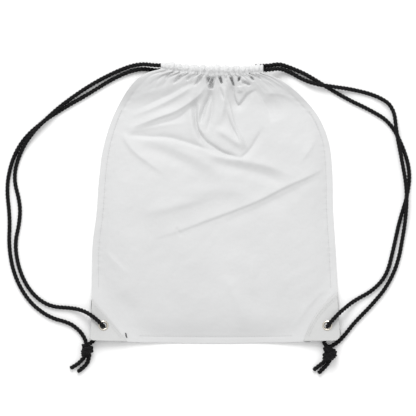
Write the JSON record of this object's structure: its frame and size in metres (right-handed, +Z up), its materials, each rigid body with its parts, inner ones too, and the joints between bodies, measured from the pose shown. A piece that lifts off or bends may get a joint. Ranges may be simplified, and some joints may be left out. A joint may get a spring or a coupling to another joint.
{
  "type": "drawstring backpack",
  "caption": "Flat drawstring backpack lying on its back, mouth gathered on cords that loop down both sides as shoulder straps to knotted corner eyelets.",
  "frame": {"origin": "on the surface the bag lies on, under the middle of the bag's outline (cords left out)", "axes": "+X to the right as seen from the front, +Y from the bottom towards the gathered mouth, +Z up from the surface through the front panel"},
  "size_m": [0.5535, 0.4265, 0.019],
  "materials": {
    "bag_fabric": "smooth coated polyester weave",
    "front_patch": "polyester weave",
    "back_patch": "dark imitation leather",
    "eyelet_metal": "pale nickel-plated, polished",
    "cord": "black twisted polyester",
    "thread": "white polyester thread"
  },
  "bodies": {
    "bag": {"back_panel": "bag_fabric", "front_panel": "bag_fabric", "back_channel": "bag_fabric", "front_channel": "bag_fabric", "front_hem_stitching": "thread", "back_hem_stitching": "thread", "seam_stitching": "thread", "left_front_patch": "front_patch", "left_back_patch": "back_patch", "left_eyelet": "eyelet_metal", "left_eyelet_washer": "eyelet_metal", "left_patch_stitching": "thread", "left_cord_channel_run": "cord", "left_cord_eyelet_run": "cord", "left_cord_knot_run": "cord", "left_knot": "cord", "right_front_patch": "front_patch", "right_back_patch": "back_patch", "right_eyelet": "eyelet_metal", "right_eyelet_washer": "eyelet_metal", "right_patch_stitching": "thread", "right_cord_channel_run": "cord", "right_cord_eyelet_run": "cord", "right_cord_knot_run": "cord", "right_knot": "cord"},
    "left_strap": {"left_eyelet_strand": "cord", "left_knot_strand": "cord"},
    "right_strap": {"right_eyelet_strand": "cord", "right_knot_strand": "cord"}
  },
  "joints": [
    {"name": "left_strap_swing", "type": "hinge", "parent": "bag", "child": "left_strap", "pos_m": [-0.1565, 0.01603, 0.0025], "axis": [0.2428, 0.9701, 0], "range_deg": [0, 90]},
    {"name": "right_strap_swing", "type": "hinge", "parent": "bag", "child": "right_strap", "pos_m": [0.14888, 0.0192, 0.0025], "axis": [0.2708, -0.9626, 0], "range_deg": [0, 90]}
  ]
}
